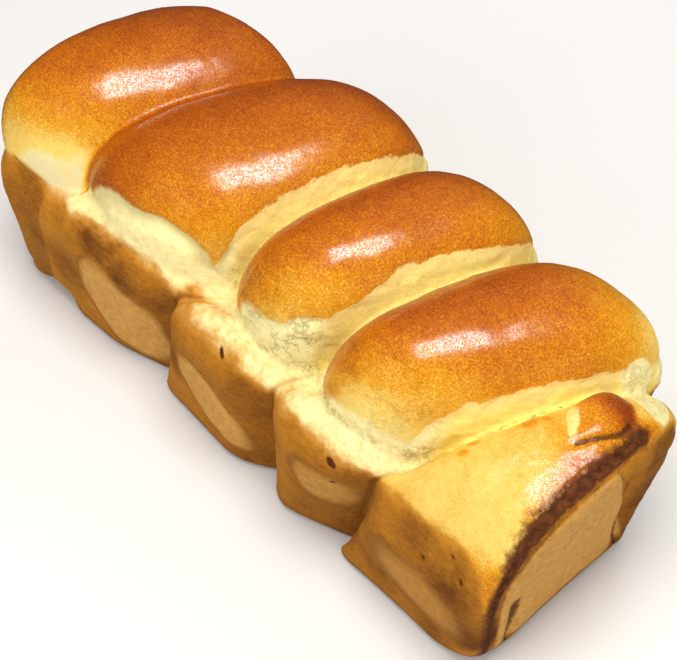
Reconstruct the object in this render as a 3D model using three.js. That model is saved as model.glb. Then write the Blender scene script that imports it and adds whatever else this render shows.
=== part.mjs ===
// A braided sweet loaf, baked in a long tin: five plump passes of a two-strand twist lie across
// it. Three of them are glossy crown lobes, the back end is a dome, and the front end is a smooth
// pillow with the strand's tail end tucked over its top edge. One piece, so one closed solid.
//
// Millimetres, +Z up, +X towards the end with the tail knob. The surface is the zero level of
// dough(), a function that is negative inside the loaf; a box-shaped cage of points is pulled
// onto it along rays that leave a line through the middle of the loaf.
import * as THREE from "three";
import { mergeVertices } from "three/addons/utils/BufferGeometryUtils.js";

// ---- the tin that shaped the lower half -----------------------------------------------------
const FRONT = 148;            // front wall, at the rim
const BACK = -144;            // back wall, at the rim
const HALF_WIDTH = 57.5;      // side walls, at the rim
const RIM = 74;               // height of the rim over the floor
const RIM_SPREAD = 1.15;      // the walls go on opening out to this many times the rim's height
const TAPER_ENDS = 7;         // how far each end wall leans in by the floor
const TAPER_SIDES = 6;        // how far each side wall leans in by the floor
const EDGE_ROUND = 16.5;      // rounding of each pass where it meets walls and neighbours
const FOOT_ROUND = 5;         // rounding of the floor's edge

// ---- where the passes meet, counted from the back: four creases ------------------------------
const CREASES = [
  // x over the crown at y = 0, slant of the crown, then x at rim and floor on each side wall
  { crown: -83, slant: 0.38, leftRim: -108, leftFloor: -112, rightRim: -66, rightFloor: -52 },
  { crown: -9, slant: 0.2, leftRim: -34, leftFloor: -57, rightRim: 5, rightFloor: 24 },
  { crown: 44, slant: 0.36, leftRim: 27, leftFloor: 19, rightRim: 68, rightFloor: 76 },
  { crown: 104.5, slant: 0.39, leftRim: 84, leftFloor: 50, rightRim: 124, rightFloor: 128 },
];
const LEFT_TURN = { start: -28, end: -54, bow: 0.8 };   // y where a crease turns down the left wall
const RIGHT_TURN = { start: 35, end: 56 };              // y where it turns down the right wall
const CREASE_BLEND = 2.5;     // softness of the line where two passes touch
const SIDE_SLOPE = { scale: 0.79, inset: 0.17 };        // turns x from a crease into a distance

// ---- the ledge beside the lobes, and what lies under and behind it ---------------------------
const SHOULDER = 82;          // top of the ledge that runs beside the crown lobes
const SHOULDER_FALL = 0.003;  // how the ledge drops towards the side walls, per mm squared
const CHANNEL = { y: -37, depth: 4.5, width: 6 };   // the hollow between the ledge and the lobes
const REAR_CUSHION = { front: -60, back: -160, side: -20, lower: 4 };   // one cushion at the back
const CORE_INSIDE = 10;       // the side creases stop at a core this far inside the walls
const CORE_TOP = 68;
const CORE_CLEARANCE = 1.2;   // and the creases underneath are this deep

// ---- crown lobes: half width, half length, height over the fattest level; "grow" widens a lobe
// towards its right end -------------------------------------------------------------------------
const LOBES = [
  { name: "dome", x: -111, slant: 0.34, y: 7, z: 71, width: 39, grow: 0, length: 60, height: 47 },
  { name: "third", x: -49, slant: 0.34, y: 11.5, z: 75, width: 41.5, grow: -0.08, length: 59.5, height: 42 },
  { name: "second", x: 18.5, slant: 0.28, y: 15, z: 77, width: 31.3, grow: 0.12, length: 55, height: 43 },
  { name: "first", x: 76, slant: 0.38, y: 13, z: 75, width: 34, grow: 0.15, length: 55.5, height: 43 },
];
const LOBE_POWERS = { across: 2.3, along: 3.4, over: 2.5, root: 2.6 };
const LOBE_SAG = 0.0012;      // the lobes' ends hang a little, per mm squared
const LOBE_BLEND = 3;
const DOME_END_ROUND = 16;    // the dome's rounding against the back wall
const OVERHANG = { reach: 16, low: -14, high: 8, edge: 8 };   // past the right wall, over the rim

// ---- front pillow, its burnt lip and the strand's tail end -----------------------------------
const PILLOW_TOP = 99;
const PILLOW_ARCH = 0.0065;   // fall of the pillow's arch to each side, per mm squared
const PILLOW_MIDDLE = 6;      // y of the arch's highest line
const PILLOW_DROOP = { start: -28, fall: 0.022 };   // the left end hangs more
const PILLOW_BACK = { x: 118, fall: 0.1 };          // its fall towards the first lobe
const PILLOW_REAR = { slope: 0.8, inset: 1 };       // its slope into the crease behind it
const PILLOW_FRONT = { x: 132, fall: 0.12 };        // its fall towards the front wall
const ARCH_ROUND = 14;        // where the pillow turns down to the side walls
const FRONT_ROUND = { left: 11, right: 19, start: 10, end: 45 };   // and to the front wall, by y
const LIP = { proud: 1, width: 6.5, x: 130, full: 138, y: 42, fullY: 30 };
const KNOB = { x: 131, y: 15, z: 94, halfX: 11, halfY: 15.5, halfZ: 8.5, turn: 0.3, blend: 3 };
const END_CREASES = [
  { y: 21, lean: 0.15, depth: 3, width: 4.5, top: 84 },
  { y: -35, lean: 0.1, depth: 1.6, width: 3.6, top: 52 },
];
const END_CREASE_FADE = { top: 12, low: 2, full: 12, start: 22, deep: 10 };
// the blunt lower corner at the front left: the cut's normal, how far out it lies, its rounding
const FRONT_FOOT = { x: 0.605, y: -0.586, z: -0.539, reach: 109.4, edge: 10 };

// ---- slow waves that keep the hand-shaped passes from looking machined -----------------------
const WAVE_X = { size: 1.6, overZ: 21, startZ: 0.7, overY: 27, startY: 1 };
const WAVE_Y = { size: 1.4, overX: 24, startX: 0.4 };

// ---- the cage --------------------------------------------------------------------------------
const STEPS_ALONG_PASS = [12, 17, 14, 15, 20];
const STEPS_ACROSS = 18;
const STEPS_UP = 14;
const CORE_INSET = 52;        // the core line stops this far short of both ends
const CORE_Y = 3;
const CORE_Z = 50;
const REACH = 112;            // rays start this far out
const FLAT_WITHIN = 0.01;     // points this low are on the flat underside
const CREASE_PULL = 0.55;     // how much closer stations lie near the creases
const STRIDE = { share: 0.5, least: 0.4 };    // a ray's step: a share of the distance left
const HALVINGS = 24;

const clamp = (value, low, high) => Math.min(Math.max(value, low), high);

const smoothStep = (from, to, value) => {
  const t = clamp((value - from) / (to - from), 0, 1);
  return t * t * (3 - 2 * t);
};

// A union whose inner corner is filled over the width "soft".
const join = (a, b, soft) => {
  const h = clamp(0.5 + (0.5 * (b - a)) / soft, 0, 1);
  return b * (1 - h) + a * h - soft * h * (1 - h);
};

// The part common to several half spaces, with every edge rounded to the radius.
const roundedMeet = (distances, radius) => {
  let squares = 0;
  let highest = -Infinity;
  for (const distance of distances) {
    const past = distance + radius;
    squares += Math.max(past, 0) ** 2;
    highest = Math.max(highest, past);
  }
  return Math.sqrt(squares) - radius + Math.min(highest, 0);
};

const bell = (value, width) => Math.exp(-((value / width) ** 2));

// x of one crease at a place on the surface: slanted over the crown, falling back down the left
// wall and running forward down the right wall, as the twisted strands do.
function creaseX(crease, y, z) {
  const up = clamp(z / RIM, 0, 1);
  const left = crease.leftFloor + (crease.leftRim - crease.leftFloor) * up ** LEFT_TURN.bow;
  const right = crease.rightFloor + (crease.rightRim - crease.rightFloor) * up;
  const crown = crease.crown + crease.slant * y;
  const onLeft = smoothStep(LEFT_TURN.start, LEFT_TURN.end, y);
  const onRight = smoothStep(RIGHT_TURN.start, RIGHT_TURN.end, y);
  return crown * (1 - onLeft - onRight) + left * onLeft + right * onRight;
}

// Distances to the tin's end walls and side walls, which open out a little towards the rim.
function tinWalls(x, y, z) {
  const open = 1 - Math.min(z / RIM, RIM_SPREAD);
  return {
    ends: Math.max(x - FRONT, BACK - x) + TAPER_ENDS * open,
    sides: Math.abs(y) - HALF_WIDTH + TAPER_SIDES * open,
  };
}

function ledge(y, z) {
  const channel = CHANNEL.depth * bell(y - CHANNEL.y, CHANNEL.width);
  return z - SHOULDER + SHOULDER_FALL * y * y + channel;
}

// One pass of the strand in the lower half, between two creases.
function pass(x, low, high, walls, top, z) {
  const slab = Math.max(low - x, x - high) * SIDE_SLOPE.scale + SIDE_SLOPE.inset;
  const cushion = roundedMeet([slab, walls.ends, walls.sides, top], EDGE_ROUND);
  return roundedMeet([cushion, -z], FOOT_ROUND);
}

// On the left wall the two rearmost passes are one long cushion.
function rearCushion(x, y, z, walls, top) {
  const distances = [
    x - REAR_CUSHION.front, REAR_CUSHION.back - x, y - REAR_CUSHION.side,
    walls.ends, walls.sides, top + REAR_CUSHION.lower, -z,
  ];
  return roundedMeet(distances, EDGE_ROUND);
}

// What fills the passes up to their creases, so that these are folds in the skin and not gaps.
function core(z, walls) {
  const distances = [walls.ends, walls.sides + CORE_INSIDE, z - CORE_TOP, CORE_CLEARANCE - z];
  return roundedMeet(distances, EDGE_ROUND - CORE_INSIDE);
}

// The front pass: an arched pillow with a burnt lip where it turns down to the front wall.
function pillow(x, y, z, low, walls) {
  const arch = PILLOW_TOP - PILLOW_ARCH * (y - PILLOW_MIDDLE) ** 2;
  const droop = PILLOW_DROOP.fall * Math.max(PILLOW_DROOP.start - y, 0) ** 2;
  const fallBack = PILLOW_BACK.fall * Math.max(PILLOW_BACK.x - x, 0);
  const fallFront = PILLOW_FRONT.fall * Math.max(x - PILLOW_FRONT.x, 0);
  const top = z - arch + droop + fallBack + fallFront;
  const section = roundedMeet([walls.sides, top], ARCH_ROUND);
  const rear = (low - x) * PILLOW_REAR.slope + PILLOW_REAR.inset;
  const strand = roundedMeet([rear, section], EDGE_ROUND);
  const toRight = smoothStep(FRONT_ROUND.start, FRONT_ROUND.end, y);
  const edge = FRONT_ROUND.left + (FRONT_ROUND.right - FRONT_ROUND.left) * toRight;
  const body = roundedMeet([roundedMeet([strand, walls.ends], edge), -z], FOOT_ROUND);
  const onLip = bell(section - walls.ends, LIP.width) * smoothStep(LIP.x, LIP.full, x);
  return body - LIP.proud * onLip * smoothStep(LIP.y, LIP.fullY, y);
}

function lobe(shape, x, y, z, walls) {
  const along = (y - shape.y) / shape.length;
  const width = shape.width * (1 + shape.grow * clamp(along, -1, 1));
  const across = (x - shape.x - shape.slant * y) / width;
  const over = (z - shape.z + LOBE_SAG * (y - shape.y) ** 2) / shape.height;
  const reach =
    Math.abs(across) ** LOBE_POWERS.across +
    Math.abs(along) ** LOBE_POWERS.along +
    Math.abs(over) ** LOBE_POWERS.over;
  const size = Math.min(shape.width, shape.length, shape.height);
  const body = (reach ** (1 / LOBE_POWERS.root) - 1) * size;
  if (shape.name === "dome") {
    return roundedMeet([body, walls.ends, walls.sides], DOME_END_ROUND);
  }
  const overRim = smoothStep(RIM + OVERHANG.low, RIM + OVERHANG.high, z);
  return roundedMeet([body, walls.sides - OVERHANG.reach * overRim], OVERHANG.edge);
}

function knob(x, y, z) {
  const dx = x - KNOB.x;
  const dy = y - KNOB.y;
  const u = dx * Math.cos(KNOB.turn) + dy * Math.sin(KNOB.turn);
  const v = dy * Math.cos(KNOB.turn) - dx * Math.sin(KNOB.turn);
  const size = Math.hypot(u / KNOB.halfX, v / KNOB.halfY, (z - KNOB.z) / KNOB.halfZ);
  return (size - 1) * KNOB.halfZ;
}

// Folds down the front face, where ends of the strands lie side by side.
function endCreases(x, y, z) {
  let depth = 0;
  for (const crease of END_CREASES) {
    const offLine = y - crease.y - crease.lean * (crease.top - z);
    const fromTop = smoothStep(crease.top, crease.top - END_CREASE_FADE.top, z);
    const fromFloor = smoothStep(END_CREASE_FADE.low, END_CREASE_FADE.full, z);
    depth += crease.depth * bell(offLine, crease.width) * fromTop * fromFloor;
  }
  return depth * smoothStep(FRONT - END_CREASE_FADE.start, FRONT - END_CREASE_FADE.deep, x);
}

function dough(straightX, straightY, z) {
  const waveAcross = Math.sin(z / WAVE_X.overZ + WAVE_X.startZ);
  const waveAlong = Math.sin(straightY / WAVE_X.overY + WAVE_X.startY);
  const x = straightX + WAVE_X.size * waveAcross * waveAlong;
  const y = straightY + WAVE_Y.size * Math.sin(x / WAVE_Y.overX + WAVE_Y.startX);
  const walls = tinWalls(x, y, z);
  const creases = CREASES.map((crease) => creaseX(crease, y, z));
  const top = ledge(y, z);
  let field = pass(x, -Infinity, creases[0], walls, top, z);
  for (let i = 1; i < creases.length; i += 1) {
    field = join(field, pass(x, creases[i - 1], creases[i], walls, top, z), CREASE_BLEND);
  }
  field = join(field, rearCushion(x, y, z, walls, top), CREASE_BLEND);
  field = join(field, core(z, walls), CREASE_BLEND);
  field = join(field, pillow(x, y, z, creases[creases.length - 1], walls), CREASE_BLEND);
  for (const shape of LOBES) {
    field = join(field, lobe(shape, x, y, z, walls), LOBE_BLEND);
  }
  field = join(field, knob(x, y, z), KNOB.blend);
  const corner = x * FRONT_FOOT.x + y * FRONT_FOOT.y + z * FRONT_FOOT.z - FRONT_FOOT.reach;
  const blunted = roundedMeet([field + endCreases(x, y, z), corner], FRONT_FOOT.edge);
  return Math.max(blunted, -z);
}

// Stations along the loaf, closer together near the creases; "nominal" x is x at y = 0 on the crown.
function stations() {
  const knots = [BACK, ...CREASES.map((crease) => crease.crown), FRONT];
  const list = [BACK];
  STEPS_ALONG_PASS.forEach((steps, i) => {
    for (let k = 1; k <= steps; k += 1) {
      const eased = 0.5 - 0.5 * Math.cos((Math.PI * k) / steps);
      const blend = CREASE_PULL * eased + (1 - CREASE_PULL) * (k / steps);
      list.push(knots[i] + (knots[i + 1] - knots[i]) * blend);
    }
  });
  return list;
}

// Carries a nominal x to the true x beside the slanted creases.
function follow(nominal, y, z) {
  const from = [BACK, ...CREASES.map((crease) => crease.crown), FRONT];
  const to = [BACK, ...CREASES.map((crease) => creaseX(crease, y, z)), FRONT];
  let i = 0;
  while (i < from.length - 2 && nominal > from[i + 1]) {
    i += 1;
  }
  const t = (nominal - from[i]) / (from[i + 1] - from[i]);
  return to[i] + (to[i + 1] - to[i]) * t;
}

// Walks in from outside along a ray until the dough starts, then halves the last step.
function pull(core, direction) {
  const at = (reach) => {
    const nominal = core.x + direction.x * reach;
    const y = core.y + direction.y * reach;
    const z = core.z + direction.z * reach;
    return new THREE.Vector3(follow(nominal, y, z), y, z);
  };
  const level = (reach) => {
    const point = at(reach);
    return dough(point.x, point.y, point.z);
  };
  let outside = REACH;
  let inside = outside;
  while (inside > 1) {
    const value = level(inside);
    if (value < 0) {
      break;
    }
    outside = inside;
    inside -= Math.max(value * STRIDE.share, STRIDE.least);
  }
  for (let n = 0; n < HALVINGS; n += 1) {
    const middle = (inside + outside) / 2;
    if (level(middle) < 0) {
      inside = middle;
    } else {
      outside = middle;
    }
  }
  return at(inside);
}

function loafGeometry() {
  const along = stations();
  const length = FRONT - BACK;
  const middle = (FRONT + BACK) / 2;
  const width = 2 * HALF_WIDTH;
  const depth = 2 * CORE_Z;
  const box = new THREE.BoxGeometry(
    length, width, depth, along.length - 1, STEPS_ACROSS, STEPS_UP,
  );
  box.deleteAttribute("normal");
  box.deleteAttribute("uv");
  const cage = mergeVertices(box, 0.001);
  const position = cage.getAttribute("position");
  const point = new THREE.Vector3();
  const core = new THREE.Vector3();
  for (let i = 0; i < position.count; i += 1) {
    point.fromBufferAttribute(position, i);
    const index = Math.round(((point.x + length / 2) / length) * (along.length - 1));
    point.x = along[index];
    const coreX = clamp(point.x, BACK + CORE_INSET, FRONT - CORE_INSET);
    core.set(coreX, CORE_Y, CORE_Z);
    const direction = new THREE.Vector3(point.x - coreX, point.y, point.z).normalize();
    const onSurface = pull(core, direction);
    const height = onSurface.z < FLAT_WITHIN ? 0 : onSurface.z;
    position.setXYZ(i, onSurface.x, onSurface.y, height);
  }
  // the origin goes under the middle of the loaf, on the surface that it stands on
  cage.computeBoundingBox();
  const centre = cage.boundingBox.getCenter(new THREE.Vector3());
  cage.translate(-centre.x, -centre.y, -cage.boundingBox.min.z);
  cage.computeVertexNormals();
  return cage;
}

const crust = new THREE.MeshStandardMaterial({ color: 0xc27a28, roughness: 0.42, metalness: 0 });
const loaf = new THREE.Mesh(loafGeometry(), crust);
loaf.name = "loaf";

const sweetLoaf = new THREE.Group();
sweetLoaf.add(loaf);

export default sweetLoaf;
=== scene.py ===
"""The looks of a braided sweet loaf that was baked in a long tin.

The skin follows the same rules as the solid: five passes of a twisted strand, three glossy crown
lobes, a dome at the back and a smooth pillow with a tail knob at the front. Then it gets its
relief and its colours from what baking did to each place, with painted shade in its creases,
recesses, cracks, slits and pits, and painted light down in the torn strips.
"""
import math
from collections import namedtuple
from types import SimpleNamespace as Named

import bpy
import numpy as np
from mathutils import Matrix, Vector


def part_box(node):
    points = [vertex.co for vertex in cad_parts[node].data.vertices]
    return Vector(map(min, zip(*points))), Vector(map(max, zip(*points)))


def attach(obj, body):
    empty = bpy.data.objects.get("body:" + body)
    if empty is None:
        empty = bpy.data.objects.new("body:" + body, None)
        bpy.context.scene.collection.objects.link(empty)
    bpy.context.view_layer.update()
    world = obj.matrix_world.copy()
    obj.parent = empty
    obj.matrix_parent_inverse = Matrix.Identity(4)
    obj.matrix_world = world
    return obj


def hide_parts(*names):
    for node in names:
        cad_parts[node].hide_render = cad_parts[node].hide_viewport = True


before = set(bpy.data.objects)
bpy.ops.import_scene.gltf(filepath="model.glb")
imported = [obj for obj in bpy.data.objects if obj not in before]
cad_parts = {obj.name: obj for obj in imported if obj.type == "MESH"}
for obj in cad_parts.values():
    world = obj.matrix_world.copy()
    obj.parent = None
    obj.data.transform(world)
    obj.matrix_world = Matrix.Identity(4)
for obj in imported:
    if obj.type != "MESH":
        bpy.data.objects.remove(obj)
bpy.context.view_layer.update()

MM = 0.001

# ---- the shape, in millimetres: sizes named as in the solid ----
FRONT = 148.0  # the tin's walls, at its rim
BACK = -144.0
HALF_WIDTH = 57.5
RIM = 74.0  # height of the rim over the floor
RIM_SPREAD = 1.15  # the walls go on opening out to this many times the rim's height
TAPER_ENDS = 7.0  # how far each wall leans in by the floor
TAPER_SIDES = 6.0
EDGE_ROUND = 16.5  # rounding of each pass where it meets walls and neighbours
FOOT_ROUND = 5.0  # rounding of the floor's edge

# x over the crown at y = 0, slant, then x at the rim and floor of the left and right walls
Crease = namedtuple("Crease", "crown slant left_rim left_floor right_rim right_floor")
CREASES = [Crease(*row) for row in (
    (-83, 0.38, -108, -112, -66, -52),
    (-9, 0.20, -34, -57, 5, 24),
    (44, 0.36, 27, 19, 68, 76),
    (104.5, 0.39, 84, 50, 124, 128),
)]
BEHIND_LOAF = -400.0  # stands in for a crease behind the rearmost pass
LEFT_TURN = Named(start=-28.0, end=-54.0, bow=0.8)  # y where a crease turns down the left wall
RIGHT_TURN = Named(start=35.0, end=56.0)  # y where it turns down the right wall
CREASE_BLEND = 2.5  # softness of the line where two passes touch
SIDE_SLOPE = Named(scale=0.7905, inset=0.17)  # turns x from a crease into a distance
SHOULDER = 82.0  # top of the ledge that runs beside the crown lobes
SHOULDER_FALL = 0.003  # how the ledge drops towards the side walls, per mm squared
CHANNEL = Named(y=-37.0, depth=4.5, width=6.0)  # the hollow between the ledge and the lobes
REAR_CUSHION = Named(front=-60.0, back=-160.0, side=-20.0, lower=4.0)  # one cushion at the back
CORE_INSIDE = 10.0  # the side creases stop at a core this far inside the walls
CORE_TOP = 68.0
CORE_CLEARANCE = 1.2  # and the creases underneath are this deep

# crown lobes: half width, half length, height over the fattest level; "grow" widens a lobe
# towards its right end
Lobe = namedtuple("Lobe", "name x slant y z width grow length height")
LOBES = [Lobe(*row) for row in (
    ("dome", -111, 0.34, 7, 71, 39, 0, 60, 47),
    ("third", -49, 0.34, 11.5, 75, 41.5, -0.08, 59.5, 42),
    ("second", 18.5, 0.28, 15, 77, 31.3, 0.12, 55, 43),
    ("first", 76, 0.38, 13, 75, 34, 0.15, 55.5, 43),
)]
LOBE_POWERS = (2.3, 3.4, 2.5)  # across, along and over it
LOBE_ROOT = 2.6
LOBE_SAG = 0.0012  # the lobes' ends hang a little, per mm squared
LOBE_BLEND = 3.0
OVERHANG = Named(reach=16.0, low=-14.0, high=8.0, edge=8.0)  # past the right wall, over the rim
DOME_END_ROUND = 16.0  # the dome's rounding against the back wall

PILLOW_TOP = 99.0
PILLOW_ARCH = 0.0065  # fall of the pillow's arch to each side, per mm squared
PILLOW_MIDDLE = 6.0  # y of the arch's highest line
PILLOW_DROOP = Named(start=-28.0, fall=0.022)  # the left end hangs more
PILLOW_BACK = Named(x=118.0, fall=0.1)  # its fall towards the first lobe
PILLOW_REAR = Named(slope=0.8, inset=1.0)  # its slope into the crease behind it
PILLOW_FRONT = Named(x=132.0, fall=0.12)  # its fall towards the front wall
ARCH_ROUND = 14.0  # where the pillow turns down to the side walls
FRONT_ROUND = Named(left=11.0, right=19.0, start=10.0, end=45.0)  # and to the front wall, by y
LIP = Named(proud=1.0, width=6.5, x=130.0, full=138.0, y=42.0, full_y=30.0)
KNOB = Named(x=131.0, y=15.0, z=94.0, half_x=11.0, half_y=15.5, half_z=8.5, turn=0.30, blend=3.0)
END_CREASES = (
    Named(y=21.0, lean=0.15, depth=3.0, width=4.5, top=84.0),
    Named(y=-35.0, lean=0.10, depth=1.6, width=3.6, top=52.0),
)
END_CREASE_FADE = Named(top=12.0, low=2.0, full=12.0, start=22.0, deep=10.0)

# the blunt lower corner at the front left: the cut's normal, how far out it lies, its rounding
FRONT_FOOT = Named(x=0.605, y=-0.586, z=-0.539, reach=109.4, edge=10.0)

# slow waves that keep the hand-shaped passes from looking machined
WAVE_X = Named(size=1.6, over_z=21.0, start_z=0.7, over_y=27.0, start_y=1.0)
WAVE_Y = Named(size=1.4, over_x=24.0, start_x=0.4)

# ---- the cage that the skin is pulled from ----
STEPS_ALONG = 272
STEPS_ACROSS = 92
STEPS_UP = 64
CREASE_PULL = 0.4  # how much closer the cage's stations lie near the creases
CORE_INSET = 52.0  # the core line stops this far short of both ends
CORE_Y = 3.0
CORE_Z = 50.0
REACH = 112.0  # rays start this far out
STRIDE = Named(share=0.5, least=0.4)  # a ray's step: a share of the distance left
HALVINGS = 16
KNOTS = np.array([BACK] + [crease.crown for crease in CREASES] + [FRONT])


def ease(start, end, value):
    """0 before the start, 1 past the end, and a soft rise between them."""
    t = np.clip((value - start) / (end - start), 0.0, 1.0)
    return t * t * (3.0 - 2.0 * t)


def bell(value, width):
    return np.exp(-(value / width) ** 2)


def join(a, b, soft):
    """A union whose inner corner is filled over the width "soft"."""
    h = np.clip(0.5 + 0.5 * (b - a) / soft, 0.0, 1.0)
    return b * (1.0 - h) + a * h - soft * h * (1.0 - h)


def rounded_meet(distances, radius):
    """The part common to several half spaces, with every edge rounded to the radius."""
    squares = 0.0
    highest = -1e9
    for distance in distances:
        past = distance + radius
        squares = squares + np.maximum(past, 0.0) ** 2
        highest = np.maximum(highest, past)
    return np.sqrt(squares) - radius + np.minimum(highest, 0.0)


def crease_x(crease, y, z):
    """x of a crease: slanted over the crown, back down the left wall, forward down the right."""
    up = np.clip(z / RIM, 0.0, 1.0)
    bowed = up ** LEFT_TURN.bow
    left = crease.left_floor + (crease.left_rim - crease.left_floor) * bowed
    right = crease.right_floor + (crease.right_rim - crease.right_floor) * up
    crown = crease.crown + crease.slant * y
    on_left = ease(LEFT_TURN.start, LEFT_TURN.end, y)
    on_right = ease(RIGHT_TURN.start, RIGHT_TURN.end, y)
    return crown * (1.0 - on_left - on_right) + left * on_left + right * on_right


def tin_walls(x, y, z):
    """Distances to the end walls and side walls, which open out a little towards the rim."""
    opening = 1.0 - np.minimum(z / RIM, RIM_SPREAD)
    ends = np.maximum(x - FRONT, BACK - x) + TAPER_ENDS * opening
    sides = np.abs(y) - HALF_WIDTH + TAPER_SIDES * opening
    return ends, sides


def lobe_place(shape, x, y, z):
    """Where a point is on a crown lobe: across, along and over it, each 1 at its edge."""
    along = y - shape.y
    across = x - shape.x - shape.slant * y
    over = z - (shape.z - LOBE_SAG * along * along)
    width = shape.width * (1.0 + shape.grow * np.clip(along / shape.length, -1.0, 1.0))
    return across / width, along / shape.length, over / shape.height


def lobe_reach(place):
    """Less than 1 inside a lobe, 1 on its surface."""
    total = sum(np.abs(part) ** power for part, power in zip(place, LOBE_POWERS))
    return total ** (1.0 / LOBE_ROOT)


def lobe_field(shape, x, y, z, ends, sides):
    smallest = min(shape.width, shape.length, shape.height)
    body = (lobe_reach(lobe_place(shape, x, y, z)) - 1.0) * smallest
    if shape.name == "dome":
        return rounded_meet([body, ends, sides], DOME_END_ROUND)
    over_rim = ease(RIM + OVERHANG.low, RIM + OVERHANG.high, z)
    return rounded_meet([body, sides - OVERHANG.reach * over_rim], OVERHANG.edge)


def pillow_arch(x, y, z, sides):
    """The front pillow's arched section, rounded down to the side walls."""
    arch = PILLOW_TOP - PILLOW_ARCH * (y - PILLOW_MIDDLE) ** 2
    arch = arch - PILLOW_DROOP.fall * np.maximum(PILLOW_DROOP.start - y, 0.0) ** 2
    tilt = PILLOW_BACK.fall * np.maximum(PILLOW_BACK.x - x, 0.0)
    tilt = tilt + PILLOW_FRONT.fall * np.maximum(x - PILLOW_FRONT.x, 0.0)
    return rounded_meet([sides, z - arch + tilt], ARCH_ROUND)


def pillow_field(x, y, z, rear, ends, sides):
    """The front pass: an arched pillow with a burnt lip where it turns down to the front wall."""
    arch = pillow_arch(x, y, z, sides)
    body = rounded_meet([(rear - x) * PILLOW_REAR.slope + PILLOW_REAR.inset, arch], EDGE_ROUND)
    to_right = ease(FRONT_ROUND.start, FRONT_ROUND.end, y)
    edge = FRONT_ROUND.left + (FRONT_ROUND.right - FRONT_ROUND.left) * to_right
    body = rounded_meet([body, ends], edge)
    body = rounded_meet([body, -z], FOOT_ROUND)
    on_lip = bell(arch - ends, LIP.width) * ease(LIP.x, LIP.full, x)
    return body - LIP.proud * on_lip * ease(LIP.y, LIP.full_y, y)


def off_end_crease(crease, y, z):
    return y - crease.y - crease.lean * (crease.top - z)


def end_creases(x, y, z):
    """Folds down the front face, where ends of the strands lie side by side."""
    fade = END_CREASE_FADE
    depth = 0.0
    for crease in END_CREASES:
        from_top = ease(crease.top, crease.top - fade.top, z)
        from_floor = ease(fade.low, fade.full, z)
        across = bell(off_end_crease(crease, y, z), crease.width)
        depth = depth + crease.depth * across * (from_top * from_floor)
    return depth * ease(FRONT - fade.start, FRONT - fade.deep, x)


def knob_field(x, y, z):
    dx, dy = x - KNOB.x, y - KNOB.y
    c, s = math.cos(KNOB.turn), math.sin(KNOB.turn)
    u = (dx * c + dy * s) / KNOB.half_x
    v = (dy * c - dx * s) / KNOB.half_y
    w = (z - KNOB.z) / KNOB.half_z
    return (np.sqrt(u * u + v * v + w * w) - 1.0) * KNOB.half_z


def hand_shaped(x, y, z):
    """Carries a point to its place in the loaf without its slow waves."""
    across = np.sin(z / WAVE_X.over_z + WAVE_X.start_z)
    wavy_x = x + WAVE_X.size * across * np.sin(y / WAVE_X.over_y + WAVE_X.start_y)
    wavy_y = y + WAVE_Y.size * np.sin(wavy_x / WAVE_Y.over_x + WAVE_Y.start_x)
    return wavy_x, wavy_y


def dough(x, y, z):
    """Negative inside the loaf, zero on its skin."""
    x, y = hand_shaped(x, y, z)
    ends, sides = tin_walls(x, y, z)
    bounds = [BEHIND_LOAF] + [crease_x(crease, y, z) for crease in CREASES]
    channel = CHANNEL.depth * bell(y - CHANNEL.y, CHANNEL.width)
    ledge = z - SHOULDER + SHOULDER_FALL * y * y + channel
    field = 1e9
    for low, high in zip(bounds, bounds[1:]):
        slab = np.maximum(low - x, x - high) * SIDE_SLOPE.scale + SIDE_SLOPE.inset
        cushion = rounded_meet([slab, ends, sides, ledge], EDGE_ROUND)
        field = join(field, rounded_meet([cushion, -z], FOOT_ROUND), CREASE_BLEND)
    # on the left wall the two rearmost passes are one long cushion
    rear = rounded_meet([
        x - REAR_CUSHION.front, REAR_CUSHION.back - x, y - REAR_CUSHION.side,
        ends, sides, ledge + REAR_CUSHION.lower, -z,
    ], EDGE_ROUND)
    field = join(field, rear, CREASE_BLEND)
    # what fills the passes up to their creases, so that these are folds and not gaps
    core = rounded_meet(
        [ends, sides + CORE_INSIDE, z - CORE_TOP, CORE_CLEARANCE - z], EDGE_ROUND - CORE_INSIDE
    )
    field = join(field, core, CREASE_BLEND)
    field = join(field, pillow_field(x, y, z, bounds[-1], ends, sides), CREASE_BLEND)
    for shape in LOBES:
        field = join(field, lobe_field(shape, x, y, z, ends, sides), LOBE_BLEND)
    field = join(field, knob_field(x, y, z), KNOB.blend)
    corner = x * FRONT_FOOT.x + y * FRONT_FOOT.y + z * FRONT_FOOT.z - FRONT_FOOT.reach
    field = rounded_meet([field + end_creases(x, y, z), corner], FRONT_FOOT.edge)
    return np.maximum(field, -z)


# ---- the skin's points and faces ----
def box_cage(along, across, up):
    """Lattice points on a box's skin, as fractions of its sides, and quads that face outwards."""
    counts = (along + 1, across + 1, up + 1)
    i, j, k = np.meshgrid(*[np.arange(count) for count in counts], indexing="ij")
    skin = (i % along == 0) | (j % across == 0) | (k % up == 0)
    number = np.full(counts, -1)
    number[skin] = np.arange(skin.sum())
    sheets = (
        (number[along, :, :], False), (number[0, :, :], True),
        (number[:, across, :].T, False), (number[:, 0, :].T, True),
        (number[:, :, up], False), (number[:, :, 0], True),
    )
    quads = []
    for grid, turned in sheets:
        corners = [grid[:-1, :-1], grid[1:, :-1], grid[1:, 1:], grid[:-1, 1:]]
        if turned:
            corners.reverse()
        quads.append(np.stack([corner.ravel() for corner in corners], axis=1))
    fractions = np.stack([i[skin] / along, j[skin] / across, k[skin] / up], axis=1)
    return fractions, np.concatenate(quads)


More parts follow.
